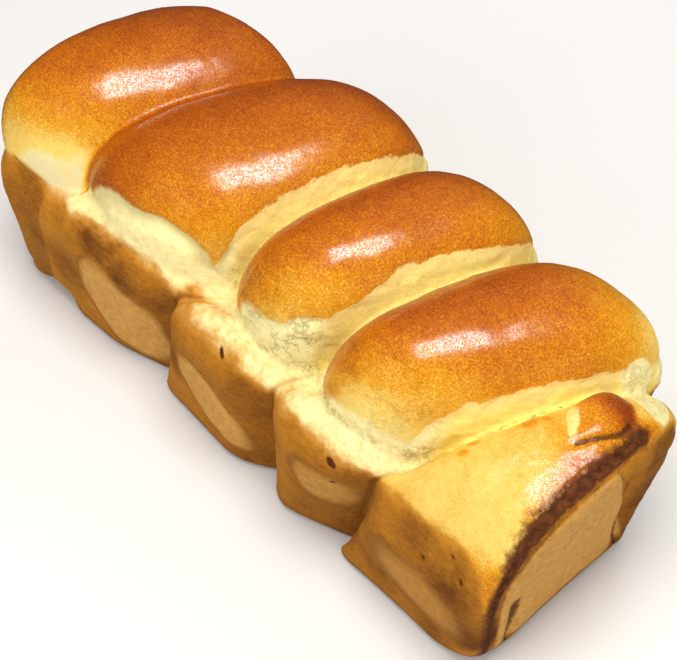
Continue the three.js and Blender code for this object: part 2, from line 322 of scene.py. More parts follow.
def station(fraction):
    """Nominal x of a fraction of the length, a little closer together at the creases."""
    straight = BACK + fraction * (FRONT - BACK)
    part = np.clip(np.searchsorted(KNOTS, straight, side="right") - 1, 0, len(KNOTS) - 2)
    low, high = KNOTS[part], KNOTS[part + 1]
    inner = (straight - low) / (high - low)
    eased = 0.5 - 0.5 * np.cos(math.pi * inner)
    return low + (high - low) * (CREASE_PULL * eased + (1.0 - CREASE_PULL) * inner)


def follow(nominal, y, z):
    """Carries a nominal x to the true x beside the slanted creases."""
    ones = np.ones_like(y)
    true = np.stack([BACK * ones] + [crease_x(crease, y, z) for crease in CREASES] + [FRONT * ones])
    part = np.clip(np.searchsorted(KNOTS, nominal, side="right") - 1, 0, len(KNOTS) - 2)
    t = (nominal - KNOTS[part]) / (KNOTS[part + 1] - KNOTS[part])
    each = np.arange(len(nominal))
    return true[part, each] * (1.0 - t) + true[part + 1, each] * t


def pull_to_dough(core, direction):
    """Walks in along each ray until the dough starts, then halves the last step."""
    def place(rays, reach):
        nominal = core[rays] + direction[rays] * reach[:, None]
        x = follow(nominal[:, 0], nominal[:, 1], nominal[:, 2])
        return np.stack([x, nominal[:, 1], nominal[:, 2]], axis=1)

    every = np.arange(len(core))
    outside = np.full(len(core), REACH)
    inside = outside.copy()
    walking = np.ones(len(core), bool)
    while walking.any():
        rays = np.where(walking)[0]
        value = dough(*place(rays, inside[rays]).T)
        out = value > 0.0
        outside[rays[out]] = inside[rays[out]]
        inside[rays[out]] -= np.maximum(value[out] * STRIDE.share, STRIDE.least)
        walking[rays[~out]] = False
        walking &= inside > 1.0
    for _ in range(HALVINGS):
        middle = (inside + outside) / 2.0
        within = dough(*place(every, middle).T) < 0.0
        inside = np.where(within, middle, inside)
        outside = np.where(within, outside, middle)
    return place(every, inside)


def loaf_skin():
    fractions, quads = box_cage(STEPS_ALONG, STEPS_ACROSS, STEPS_UP)
    nominal_x = station(fractions[:, 0])
    core_x = np.clip(nominal_x, BACK + CORE_INSET, FRONT - CORE_INSET)
    direction = np.stack([
        nominal_x - core_x,
        (2.0 * fractions[:, 1] - 1.0) * HALF_WIDTH,
        (2.0 * fractions[:, 2] - 1.0) * CORE_Z,
    ], axis=1)
    direction /= np.linalg.norm(direction, axis=1)[:, None]
    ones = np.ones(len(core_x))
    core = np.stack([core_x, CORE_Y * ones, CORE_Z * ones], axis=1)
    return pull_to_dough(core, direction), quads


def skin_normals(points, quads):
    diagonal_a = points[quads[:, 2]] - points[quads[:, 0]]
    diagonal_b = points[quads[:, 3]] - points[quads[:, 1]]
    facing = np.cross(diagonal_a, diagonal_b)
    total = np.zeros_like(points)
    for corner in range(4):
        np.add.at(total, quads[:, corner], facing)
    return total / np.maximum(np.linalg.norm(total, axis=1), 1e-9)[:, None]


# ---- noise ----
FINER = 0.55


def lattice_value(i, j, k, seed):
    """A repeatable random value from -1 to 1 for each lattice point."""
    mixed = (i * 73856093) ^ (j * 19349663) ^ (k * 83492791) ^ (seed * 2654435)
    mixed = mixed & 0x7FFFFFFF
    mixed = ((mixed ^ (mixed >> 13)) * 1274126177) & 0x7FFFFFFF
    mixed = ((mixed ^ (mixed >> 15)) * 668265263) & 0x7FFFFFFF
    return (mixed ^ (mixed >> 16)) / 0x3FFFFFFF - 1.0


def lumps(points, size, seed):
    """Smooth noise from -1 to 1 whose lumps are "size" apart; size may differ by axis."""
    scaled = points / np.asarray(size, float)
    cell = np.floor(scaled).astype(np.int64)
    t = scaled - cell
    t = t * t * t * (t * (t * 6.0 - 15.0) + 10.0)
    total = 0.0
    for corner in range(8):
        step = np.array([corner & 1, (corner >> 1) & 1, (corner >> 2) & 1])
        weight = np.prod(np.where(step == 1, t, 1.0 - t), axis=1)
        total = total + weight * lattice_value(*(cell + step).T, seed)
    return total


def rough(points, size, seed, octaves=3):
    """Noise with finer lumps added, each time at half the size and FINER of the strength."""
    total = 0.0
    strength = 1.0
    for octave in range(octaves):
        finer_size = np.asarray(size, float) / 2 ** octave
        total = total + strength * lumps(points, finer_size, seed + octave)
        strength *= FINER
    return total


# ---- what baking did to each place, and where shade and light are painted ----
# For each crown lobe, "along" runs from -1 at its left end to 1 at its right end and "round" is
# degrees from its top down its front flank. "tones" is how brown it is along its top, "edge" how
# far round the crust reaches before it tore, "end" where the crust stops at the left, at the top
# and low on the flank, and "recess" how deep the shoulder is tucked under the crust there.
CRUSTS = {
    "dome": Named(
        tones=((-0.99, 0.12), (-0.90, 0.34), (-0.82, 0.55), (-0.62, 0.69), (-0.30, 0.76),
               (0.20, 0.84), (0.60, 0.88)),
        per_degree=-0.0030, edge=((-1.0, 100.0), (1.0, 100.0)), end=(1.2, 1.2), recess=0.0,
    ),
    "third": Named(
        tones=((-1, 0.68), (-0.60, 0.73), (-0.30, 0.77), (0.30, 0.80), (0.80, 0.88)),
        per_degree=-0.0044,
        edge=((-0.76, 80), (-0.66, 66), (-0.54, 52), (-0.34, 46), (-0.05, 44),
              (0.30, 41), (0.65, 46), (1, 54)),
        end=(0.93, 0.76), recess=1.0,
    ),
    "second": Named(
        tones=((-1, 0.44), (-0.82, 0.56), (-0.50, 0.72), (0, 0.77), (0.50, 0.76), (1, 0.66)),
        per_degree=-0.0042,
        edge=((-0.92, 44), (-0.70, 54), (-0.60, 51), (-0.38, 47), (-0.20, 41),
              (0.08, 41), (0.38, 45), (0.67, 49), (1, 56)),
        end=(0.97, 0.88), recess=0.25,
    ),
    "first": Named(
        tones=((-1, 0.26), (-0.90, 0.36), (-0.84, 0.54), (-0.62, 0.62), (-0.38, 0.77), (0.30, 0.77),
               (0.60, 0.62), (0.80, 0.45), (1, 0.22)),
        per_degree=-0.0042,
        edge=((-0.90, 88), (-0.74, 60), (-0.53, 55), (-0.10, 54), (0.41, 57), (1, 62)),
        end=(0.975, 0.93), recess=0.0,
    ),
}
MM_PER_DEGREE = 0.65  # along a crown lobe's flank
REAR_DEGREES = -30.0  # further than this down the rear flank the tone stays the same
END_TURN = (10.0, 75.0)  # degrees over which the crust's left end moves from "top" to "low"
EDGE_LIMIT = 12.0  # how far from the crust's edge is still told apart
CREAM_TONE = 0.10  # places in BAKE_COLOURS: bare dough, the pillow, and the dome's back
PILLOW_TONE = 0.27
BACK_TONE = 0.45
# the lobes are paler low down at their right ends, and the dome low down at its left end
RIGHT_END_PALING = Named(amount=0.25, z=(88.0, 72.0), y=(30.0, 45.0))
DOME_PALING = Named(amount=0.40, round=(24.0, 66.0), along=(-0.50, -0.86))
# at their left ends the lobes are bare below this height
FOOT_OF_CRUST = Named(z=80.0, slope=0.8, y=(-25.0, -12.0), depth=30.0)
# lobes meet at a crease: the nearer one wins, and the other fades out within a millimetre
LOBE_WINS = 0.014
LOBE_FADE = (1.065, 1.03)

# limits of the loaf's sides and of its front part, for marks that belong to one of them
LEFT = -20.0
RIGHT = 20.0
FRONT_PART = 120.0
ON_PILLOW = 88.0  # z; only the pillow and the lobes are above this
FAR = 20.0  # stands for "nowhere near" in marks that are millimetres
NO_PIT = -9.0

# where the tin's left wall ends and the risen dough begins: x, z
WALL_EDGE = (
    (-144, 70), (-125, 75), (-108, 71), (-90, 70), (-78, 74), (-54, 75),
    (-44, 75), (-34, 66), (-26, 69), (-10, 71), (10, 72), (19, 68),
    (24, 64), (32, 69), (45, 72), (66, 70), (78, 66), (88, 65),
    (100, 69), (130, 73), (139, 69), (145, 58),
)
WALL_INTO_SIDE = 17.0  # above the rim the wall's colour goes this far in from the side walls
WALL_INTO_BACK = 14.0  # and this far from the back wall
UNDERSIDE = 9.0  # below this the loaf is as dark as its walls all round

# Oval marks are rows of their middle's two coordinates, two half sizes and a tilt. First, where
# the dough was pressed smooth and pale on the tin's left wall, x, z, with strength and softness.
PRESSED_LEFT = (
    ((-63, 32, 27, 19, -1.1), 1, 0.30),
    ((-5, 32, 22, 14, -0.7), 1, 0.30),
    ((60, 45, 14, 13, -0.5), 0.6, 0.55),
    ((112, 33, 27, 15, -0.1), 0.5, 0.6),
)
# the same on the right wall as x, z, and on the back as y, z
PRESSED_RIGHT = (
    (-102, 38, 25, 17, 0.1),
    (-24, 37, 23, 18, 0.4),
    (44, 36, 17, 19, 0.3),
    (99, 38, 15, 18, 0.2),
)
PRESSED_BACK = (2.0, 40.0, 33.0, 17.0, 0.0)
# darker places of the left wall: x, z, radius, strength
DARK_PLACES = (
    (-74, 69, 14, 0.8), (-56, 60, 13, 0.7), (-42, 50, 15, 0.6),
    (-95, 34, 17, 0.45), (-30, 40, 17, 0.5), (14, 50, 13, 0.3),
    (10, 28, 15, 0.45), (76, 48, 13, 0.45), (72, 26, 15, 0.45),
    (128, 52, 18, 0.6), (139, 30, 16, 0.8), (118, 12, 15, 0.5),
    (92, 20, 13, 0.45), (106, 62, 12, 0.45),
)
# blister holes on the left wall, x, z
BLISTERS = (
    (3, 70, 2.4, 1.1, -0.9), (66, 65.5, 3, 1.5, -0.8), (66.5, 53, 1.2, 0.9, 0),
    (125, 67, 1.1, 0.8, 0), (113, 56, 1.3, 0.9, -0.5),
    (132, 61, 1.6, 0.9, -0.6),
)
# small orange spots on the pillow: x, y, radius
SPOTS = (
    (112, -2, 3.6), (116, 3, 2), (103, -20, 2.4), (104, -26, 2),
    (139, -27, 2.2),
)
# on the pillow as x, y: the slit beside the knob, and a torn scar
SLIT_LINE = ((132.0, 1.0), (135.0, 6.0), (138.0, 11.0), (140.0, 17.0), (139.0, 23.0))
SCAR = (124.0, 8.0, 8.0, 2.4, -0.84)
PILLOW_SEAM = Named(above=74.0, y=(-46.0, 34.0), shift=0.4)  # the line between it and the first lobe
# the burnt lip: over the arched edge in the middle, lower round the left corner, none at the right
# each row: the value low down, what is added to it, and the heights between which it is added
LIP_CENTRE = (-8.0, 12.0, 58.0, 96.0)
LIP_HALF_WIDTH = (2.8, 1.8, 46.0, 66.0)
LIP_THINNING = Named(y=26.0, by=1.2)
LIP_FROM_X = 128.0
# on the front end: the brown stripe at the right of the flat pressed part, a dark fold of painted
# shade at its left as an oval in y, z, and a strand's torn end at the pillow's right: middle, half
# sizes
END_STRIPE = Named(y=12.0, z=92.0, lean=0.33)
END_FOLD_SHADE = (-31.5, 30.0, 2.4, 22.0, 0.0)
TORN_END = ((131.0, 43.0, 90.0), (17.0, 10.0, 13.0))

# what the crust's material reads from each point
MARKS = (
    "browning", "wall", "pressed", "torn", "burnt", "shine", "pits", "slit", "ledge", "cracked",
    "greyed", "shaded", "foot", "fold_line", "pillow_seam",
)


def oval(u, v, mark):
    """0 at the middle of an oval mark, 1 at its edge."""
    middle_u, middle_v, half_u, half_v, tilt = mark
    c, s = math.cos(tilt), math.sin(tilt)
    from_u, from_v = u - middle_u, v - middle_v
    return np.hypot((from_u * c + from_v * s) / half_u, (from_v * c - from_u * s) / half_v)


def distance_to_line(x, y, corners):
    nearest = np.full(len(x), 1e9)
    for (x0, y0), (x1, y1) in zip(corners, corners[1:]):
        dx, dy = x1 - x0, y1 - y0
        t = np.clip(((x - x0) * dx + (y - y0) * dy) / (dx * dx + dy * dy), 0.0, 1.0)
        nearest = np.minimum(nearest, np.hypot(x - x0 - t * dx, y - y0 - t * dy))
    return nearest


def lobe_crust(shape, place, x, y, z, wander, scallops):
    """One lobe's browning, and how far past its crust's edge each point is."""
    crust = CRUSTS[shape.name]
    across, along, over = place
    round_flank = np.degrees(np.arctan2(across, np.maximum(over, -1.0)))
    tone = np.interp(along + 0.03 * wander, *zip(*crust.tones))
    tone = tone + crust.per_degree * np.maximum(round_flank, REAR_DEGREES)
    paling = ease(*RIGHT_END_PALING.z, z) * ease(*RIGHT_END_PALING.y, y)
    tone = tone - RIGHT_END_PALING.amount * paling

    past_edge = (round_flank - np.interp(along, *zip(*crust.edge))) * MM_PER_DEGREE
    at_top, low = crust.end
    end = at_top + (low - at_top) * ease(*END_TURN, round_flank)
    past_end = (-end - along) * shape.length
    past_edge = np.maximum(past_edge + scallops, past_end + 0.3 * scallops)
    if shape.name == "dome":
        low_down = ease(*DOME_PALING.round, round_flank)
        paling = low_down * ease(*DOME_PALING.along, along + 0.06 * wander)
        return tone - DOME_PALING.amount * paling, past_edge
    past_foot = (FOOT_OF_CRUST.z - z) * FOOT_OF_CRUST.slope
    past_foot = past_foot - FOOT_OF_CRUST.depth * ease(*FOOT_OF_CRUST.y, y)
    return tone, np.maximum(past_edge, past_foot)


def crown_crust(x, y, z, wander, scallops):
    """The crown lobes' browning, how far past the crust's edge a point is, its recess, and how
    near it is to the closest lobe and to the next one."""
    total = np.full(len(x), 1e-9)
    sums = np.stack([CREAM_TONE * total, 9.0 * total, 0.0 * total])
    closest = np.full(len(x), 9.0)
    next_closest = closest.copy()
    for shape in LOBES:
        place = lobe_place(shape, x, y, z)
        reach = lobe_reach(place)
        tone, past_edge = lobe_crust(shape, place, x, y, z, wander, scallops)
        weight = np.exp(-np.minimum(reach - 1.0, 1.0) / LOBE_WINS) * ease(*LOBE_FADE, reach)
        recess = np.full(len(x), CRUSTS[shape.name].recess)
        total = total + weight
        sums += weight * np.stack([tone, np.clip(past_edge, -EDGE_LIMIT, EDGE_LIMIT), recess])
        next_closest = np.minimum(next_closest, np.maximum(closest, reach))
        closest = np.minimum(closest, reach)
    return (*(sums / total), closest, next_closest)


def wall_mark(x, z, sides, lip, wander):
    """Inside (+) what the tin's wall shaped, which ends where the dough rose free of it."""
    top = np.interp(x, *zip(*WALL_EDGE)) + 1.2 * wander
    on_side = np.minimum(top - z, (sides + WALL_INTO_SIDE) * 0.7)
    on_back = np.minimum(top - z, (BACK - x + WALL_INTO_BACK) * 0.7)
    on_front = np.where(x > FRONT_PART, -lip - 1.0, -FAR)
    return np.maximum(np.maximum(on_side, on_back), np.maximum(on_front, UNDERSIDE - z))


def wall_shade(x, y, z, beyond, wander):
    """How dark the wall is, 0 to 1: in each pass darker towards the crease at its front end, which
    is painted shade, and darker at the listed places and the front right corner.
    """
    shaded = 0.4 * np.max(ease(-30, -6, beyond) * (beyond < 1.0), axis=0)
    for dark_x, dark_z, radius, strength in DARK_PLACES:
        away = np.hypot(x - dark_x, z - dark_z) / radius + 0.15 * wander
        shaded = np.maximum(shaded, strength * ease(1.4, 0.0, away) * (y < LEFT))
    right_corner = ease(24, 34, y) * ease(FRONT_PART, FRONT_PART + 10.0, x)
    return np.maximum(shaded, 0.6 * right_corner)


def burnt_lip(x, y, z, lip):
    """Inside (+) the burnt lip, and how far down from its lower edge a point is."""
    def by_height(low, added, start, end):
        return low + added * ease(start, end, z)

    centre, half_width = by_height(*LIP_CENTRE), by_height(*LIP_HALF_WIDTH)
    burnt = half_width - np.abs(lip - centre)
    burnt = burnt - LIP_THINNING.by * np.maximum(y - LIP_THINNING.y, 0.0)
    return np.where(x > LIP_FROM_X, burnt, -FAR), centre - half_width - lip


def pressed_places(x, y, z, below_lip, wander, scallops):
    """How flat and pale the tin pressed the dough, 0 to 1."""
    def soft_patch(away):
        return 0.8 * ease(1.6, 0.5, away + 0.10 * wander)

    pressed = np.zeros(len(x))
    for mark, strength, soft in PRESSED_LEFT:
        away = oval(x, z, mark) + 0.08 * wander + 0.015 * scallops
        patch = strength * ease(1.0 + soft, 1.0 - soft, away)
        pressed = np.maximum(pressed, patch * (y < LEFT))
    flat_end = ease(1.0, 4.5, below_lip) * ease(3, 13, z)
    past_stripe = y - END_STRIPE.y - END_STRIPE.lean * (END_STRIPE.z - z)
    flat_end = flat_end * ease(-1.5, -5.5, past_stripe)
    pressed = np.maximum(pressed, flat_end * (x > FRONT_PART))
    for mark in PRESSED_RIGHT:
        pressed = np.maximum(pressed, soft_patch(oval(x, z, mark)) * (y > RIGHT))
    on_back = x < BACK + WALL_INTO_BACK
    return np.maximum(pressed, soft_patch(oval(y, z, PRESSED_BACK)) * on_back)


def blister_pits(x, y, z):
    """Inside (+) the blister holes."""
    pits = np.full(len(x), NO_PIT)
    for hole in BLISTERS:
        inside = (1.0 - oval(x, z, hole)) * hole[3]
        pits = np.maximum(pits, np.where(y < -35.0, inside, NO_PIT))
    return pits


def dark_slits(x, y, z, wander):
    """Millimetres from the slit beside the knob, from the folds down the front end and from the dark
    fold at its left: all get painted shade.
    """
    slit = np.where(z > ON_PILLOW, distance_to_line(x, y, SLIT_LINE), FAR)
    for crease in END_CREASES:
        off_line = np.abs(off_end_crease(crease, y, z))
        on_end = (x > 125.0) & (z < crease.top - 4.0)
        slit = np.minimum(slit, np.where(on_end, off_line + 0.2, FAR))
    fold_shade = (oval(y, z, END_FOLD_SHADE) + 0.1 * wander - 0.3) * END_FOLD_SHADE[2]
    return np.minimum(slit, np.where(x > FRONT_PART, fold_shade, FAR))


def torn_end(x, y, z, wander):
    """1 on the torn end of the strand, at the right of the pillow."""
    places = zip((x, y, z), *TORN_END)
    away = np.sqrt(sum(((at - middle) / half) ** 2 for at, middle, half in places))
    return ease(1.1, 0.7, away + 0.1 * wander)


def pillow_seam(x, y, z, ends, sides):
    """Millimetres from the line where the first lobe lies against the pillow, which gets painted
    shade.
    """
    lobe = lobe_field(LOBES[3], x, y, z, ends, sides)
    pillow = pillow_field(x, y, z, crease_x(CREASES[3], y, z), ends, sides)
    low, high = PILLOW_SEAM.y
    near = (z > PILLOW_SEAM.above) & (y > low) & (y < high)
    return np.where(near, np.abs(lobe - pillow - PILLOW_SEAM.shift), FAR)


def bake_marks(points):
    """What each place went through, and where shade is painted, mostly as millimetres inside (+) or
    outside (-) a mark.
    """
    x, y = hand_shaped(*points.T)
    z = points[:, 2]
    ends, sides = tin_walls(x, y, z)
    lip = pillow_arch(x, y, z, sides) - ends  # 0 on the arched edge, less on the front wall
    wander = rough(points, 15.0, 11)
    scallops = 1.5 * lumps(points, 8.0, 23) + 0.8 * lumps(points, 3.6, 29)
    crust, torn, recess, closest, next_closest = crown_crust(x, y, z, wander, scallops)
    behind_dome = (x < -112.0) & (y > -30.0) & (closest > 1.04)
    crust = np.where(behind_dome, BACK_TONE, crust)

    # millimetres beyond each crease, towards the front
    beyond = np.stack([(x - crease_x(crease, y, z)) * 0.94 for crease in CREASES])
    on_pillow = ease(-1, 1, beyond[3]) * (closest > 1.06)
    burnt, below_lip = burnt_lip(x, y, z, lip)
    scar = np.where(z > ON_PILLOW, (1.0 - oval(x, y, SCAR)) * SCAR[3], -FAR)
    knob = ease(1.8, 0.2, knob_field(x, y, z))

    # bare dough: the cream ledge beside the lobes, their low right ends and the torn end
    bare_end = torn_end(x, y, z, wander) * (1.0 - knob)
    ledge = ease(-20, -32, y) * ease(2, -2, beyond[3])
    ledge = np.maximum(ledge, ease(52, 58, y) * ease(88, 82, z))
    ledge = np.maximum(ledge, bare_end)
    past_end_crust = 6.0 * bare_end - 4.0
    torn = np.maximum(torn, past_end_crust)
    torn = np.where(on_pillow > 0.5, np.maximum(past_end_crust, scar), torn)
    torn = np.where((x < -118.0) & (y > -30.0), -9.0, torn)
    return Named(
        x=x, y=y, z=z, wander=wander, crust=crust, torn=torn, on_pillow=on_pillow, burnt=burnt,
        scar=scar, knob=knob, ledge=ledge, recess=recess,
        on_lobe=ease(1.06, 1.03, closest),
        in_groove=ease(1.07, 1.01, next_closest),
        wall=wall_mark(x, z, sides, lip, wander),
        pressed=pressed_places(x, y, z, below_lip, wander, scallops),
        pits=blister_pits(x, y, z),
        slit=dark_slits(x, y, z, wander),
        shaded=wall_shade(x, y, z, beyond, wander),
        foot=ease(8.0, 0.5, z),
        fold_line=np.min(np.abs(beyond[1:]), axis=0) + 40.0 * ease(84, 90, z),
        pillow_seam=pillow_seam(x, y, z, ends, sides),
    )


def relief(points, marks):
    """How far each point moves out along its normal, in millimetres."""
    on_wall = ease(-2, 2, marks.wall)
    on_left = marks.y < 0.0
    is_torn = ease(-0.8, 0.8, marks.torn) * (1.0 - marks.on_pillow)
    # the whole loaf is a little uneven, the tin's wall less so, but that is finely wrinkled
    sway = 0.6 * lumps(points, 26.0, 3) + 0.3 * lumps(points, 12.0, 5)
    streaks = lumps(points, (9.0, 4.0, 2.6), 31) + 0.6 * lumps(points, (5.0, 2.2, 1.7), 37)
    lift = sway * (1.0 - 0.7 * on_wall)
    lift += (0.14 * streaks - 0.8) * on_wall * (1.0 - marks.pressed)
    lift += 0.06 * lumps(points, (2.4, 3.2, 2.4), 53) * (1.0 - on_wall)
    # crumb in the torn strips
    crumb = 0.45 * lumps(points, (3.0, 6.0, 3.0), 43) + 0.25 * lumps(points, (1.8, 3.0, 1.8), 44)
    lift += is_torn * (1.0 - marks.ledge) * (crumb - 0.6)
    # under the crust's left edge the shoulder starts in a recess, then swells and crinkles
    folds = np.abs(rough(points, (14.0, 8.0, 8.0), 41, 3))
    shoulder = is_torn * marks.ledge * (1.0 - on_wall)
    tuck = bell(marks.torn - 1.6, 1.8) * marks.ledge * marks.recess
    lift -= 2.4 * tuck * on_left
    lift += shoulder * (0.9 * ease(2, 7, marks.torn) - 0.7 * folds)
    # pits, slits, the scar and the creases of the left wall
    lift -= 0.7 * ease(-0.4, 0.6, marks.pits)
    lift -= 0.9 * bell(marks.slit, 1.3)
    lift += 0.3 * ease(-0.8, 0.8, marks.scar)
    lift -= 0.9 * bell(marks.fold_line, 1.1) * on_left
    # the burnt lip stands proud of a groove
    is_burnt = ease(-1.0, 1.5, marks.burnt)
    lift += is_burnt * (0.5 + 0.35 * lumps(points, 2.2, 47))
    lift -= 0.7 * bell(marks.burnt - 4.4, 0.8)
    return lift * ease(0.6, 6.0, marks.z)


def pillow_browning(marks):
    """Browner towards the burnt lip, at the left corner's edge, round the knob and in spots."""
    x, y, z = marks.x, marks.y, marks.z
    near_lip = ease(-12, 0, marks.burnt) * ease(-34, -8, y)
    left_corner = ease(80, 66, z) * ease(-32, -42, y)
    left_corner = left_corner * ease(122, 134, x)
    near_knob = bell(np.hypot((x - 130.0) * 0.9, (y - 3.0) * 0.8), 12.0)
    tone = PILLOW_TONE + 0.40 * near_lip + 0.30 * left_corner
    tone = tone + 0.16 * near_knob + 0.03 * marks.wander
    for spot_x, spot_y, radius in SPOTS:
        away = np.hypot(x - spot_x, y - spot_y)
        tone = tone + 0.24 * ease(radius * 1.3, radius * 0.5, away)
    on_knob = 0.58 + 0.40 * ease(14, 25, y)
    return tone * (1.0 - marks.knob) + marks.knob * on_knob


def paint(marks):
    """The attributes that the crust's material reads."""
    x, y, z = marks.x, marks.y, marks.z
    is_pillow = marks.on_pillow
    browning = marks.crust * (1.0 - is_pillow) + pillow_browning(marks) * is_pillow
    shine = marks.on_lobe * ease(0.16, 0.46, marks.crust) * (1.0 - marks.in_groove)
    # cracks, greyed with painted shade, show on the shoulder beside the two front lobes and at the
    # first lobe's right end
    cracked = marks.ledge * ease(-26, -14, x) * (1.0 - 0.6 * ease(0, 20, y))
    marks.browning = np.clip(browning, 0.0, 1.0)
    marks.shine = shine * (1.0 - is_pillow) + 0.75 * is_pillow
    marks.cracked = cracked
    # painted shade in the recess under the crust's left edge, on the left side
    marks.greyed = marks.ledge * marks.recess * (y < 0.0)
    return {name: getattr(marks, name) for name in MARKS}


# ---- node helpers ----
def srgb(red, green, blue):
    """A colour given as it looks on a screen, 0 to 255, as the linear value a shader takes."""
    def linear(channel):
        c = channel / 255.0
        return c / 12.92 if c <= 0.04045 else ((c + 0.055) / 1.055) ** 2.4
    return (linear(red), linear(green), linear(blue), 1.0)


class Wiring:
    """Adds nodes to a tree and links them in one call."""

    def __init__(self, tree):
        self.tree = tree

    def add(self, kind, inputs=None, **settings):
        node = self.tree.nodes.new(kind)
        for name, value in settings.items():
            setattr(node, name, value)
        for name, value in (inputs or {}).items():
            self.feed(node.inputs[name], value)
        return node

    def feed(self, socket, value):
        if isinstance(value, bpy.types.NodeSocket):
            self.tree.links.new(value, socket)
        else:
            socket.default_value = value

    def attribute(self, name):
        return self.add("ShaderNodeAttribute", attribute_name=name).outputs["Fac"]

    def noise(self, vector, scale, detail=3.0, roughness=0.5):
        inputs = {"Vector": vector, "Scale": scale, "Detail": detail, "Roughness": roughness}
        return self.add("ShaderNodeTexNoise", inputs).outputs["Fac"]

    def math(self, operation, a, b=0.0, clamp=False):
        node = self.add("ShaderNodeMath", {0: a, 1: b}, operation=operation, use_clamp=clamp)
        return node.outputs[0]

    def plus(self, a, b):
        return self.math("ADD", a, b)

    def minus(self, a, b):
        return self.math("SUBTRACT", a, b)

    def times(self, a, b):
        return self.math("MULTIPLY", a, b)

    def larger(self, a, b):
        return self.math("MAXIMUM", a, b)

    def ridges(self, noise):
        """0 along the winding lines where a noise crosses its middle."""
        return self.math("ABSOLUTE", self.minus(noise, 0.5))

    def spread(self, value, low, high, to_low=0.0, to_high=1.0):
        """The range from low to high carried to another range, and held at its ends."""
        inputs = {
            "Value": value, "From Min": low, "From Max": high, "To Min": to_low, "To Max": to_high,
        }
        return self.add("ShaderNodeMapRange", inputs, clamp=True).outputs["Result"]

    def swing(self, noise, low, high):
        """A noise's usual values, 0.3 to 0.7, carried to a range of shifts."""
        return self.spread(noise, 0.3, 0.7, low, high)

    def mix(self, factor, a, b):
        node = self.add("ShaderNodeMix", data_type="RGBA")
        self.feed(node.inputs[0], factor)
        self.feed(node.inputs[6], a)
        self.feed(node.inputs[7], b)
        return node.outputs[2]

    def ramp(self, value, stops):
        node = self.add("ShaderNodeValToRGB", {"Fac": value})
        elements = node.color_ramp.elements
        while len(elements) < len(stops):
            elements.new(0.5)
        for element, (position, colour) in zip(elements, stops):
            element.position = position
            element.color = colour
        return node.outputs["Color"]


# ---- materials ----
BAKE_COLOURS = (
    (0.00, srgb(246, 231, 174)),
    (0.12, srgb(252, 220, 120)),
    (0.25, srgb(249, 205, 98)),
    (0.40, srgb(236, 166, 36)),
    (0.52, srgb(224, 143, 8)),
    (0.64, srgb(207, 116, 4)),
    (0.76, srgb(190, 95, 4)),
    (0.88, srgb(172, 79, 4)),
    (1.00, srgb(146, 62, 8)),
)
TORN_PALE = srgb(255, 224, 134)
# painted light: the strips' brighter yellow down in the groove
TORN_PAINTED_LIGHT = srgb(255, 236, 128)
TORN_PEACH = srgb(248, 186, 92)
SHOULDER_CREAM = srgb(255, 240, 172)
SHOULDER_GOLD = srgb(240, 204, 120)
# painted shade in the recess under the crust's edge and beside the cracks
SHOULDER_SHADE_GREY = srgb(220, 204, 142)
WALL_GOLD = srgb(228, 150, 34)
WALL_BROWN = srgb(196, 128, 34)
# the walls' dark brown, also used as painted shade towards the creases and along the folds
WALL_DARK_AND_SHADE = srgb(112, 62, 18)
PRESSED_TAN = srgb(218, 165, 86)
PRESSED_BROWN = srgb(198, 142, 68)
# the burnt lip's dark brown, also painted shade in the slits and folds
BURNT_AND_SHADE_BROWN = srgb(76, 40, 20)
BURNT_LIGHT = srgb(118, 66, 32)
# painted shade in the blister holes
PIT_SHADE_BROWN = srgb(92, 44, 14)
# painted shade in the cracks and along the seam between the first lobe and the pillow
CRACK_SHADE_GREY = srgb(140, 128, 72)

# the noises that break up the colours and the gloss: scale per metre, detail, roughness
GRAIN = dict(
    speckle=(1250.0, 3.0, 0.65),
    mottle=(330.0, 4.0, 0.65),
    cloud=(70.0, 3.0, 0.5),
    cracks=(170.0, 6.0, 0.65),
    net=(620.0, 3.0, 0.6),
)
STREAK = (800.0, 4.0, 0.7)
STREAK_TILT = -0.25
STREAK_SCALE = (0.35, 1.0, 1.0)

COAT_ROUGHNESS = 0.19
COAT_IOR = 2.0
CRUST_SPECULAR = 0.12
BARE_ROUGHNESS = 0.80
GLAZED_ROUGHNESS = 0.35
BUMP_STRENGTH = 0.6
BUMP_DISTANCE = 0.0005


def make_grain(w):
    where = w.add("ShaderNodeTexCoord").outputs["Object"]
    along = w.add("ShaderNodeMapping", {
        "Vector": where, "Rotation": (0.0, STREAK_TILT, 0.0), "Scale": STREAK_SCALE,
    }).outputs["Vector"]
    grain = Named(**{name: w.noise(where, *settings) for name, settings in GRAIN.items()})
    grain.streak = w.noise(along, *STREAK)
    return grain


def browned_crust(w, marks, grain):
    """Browned crust, finely speckled where it shines."""
    browning = marks.browning
    speckles = w.times(w.swing(grain.speckle, -0.20, 0.20), w.spread(browning, 0.2, 0.6, 0.15, 1.0))
    toned = w.plus(browning, w.swing(grain.cloud, -0.05, 0.05))
    toned = w.plus(toned, w.plus(speckles, w.swing(grain.mottle, -0.05, 0.05)))
    return w.ramp(toned, BAKE_COLOURS)


def dough_cracks(w, marks, grain):
    """Cracks of the cream shoulder, and a wider band beside them, which get painted shade and bump.
    """
    ridge = w.ridges(grain.cracks)
    inner = w.times(marks.cracked, w.spread(marks.wall, -3.0, -8.0))
    crack = w.times(w.spread(ridge, 0.015, 0.0), w.spread(grain.cloud, 0.42, 0.53))
    near_cracks = w.times(w.spread(ridge, 0.08, 0.02, 0.0, 0.55), inner)
    return w.times(crack, inner), near_cracks


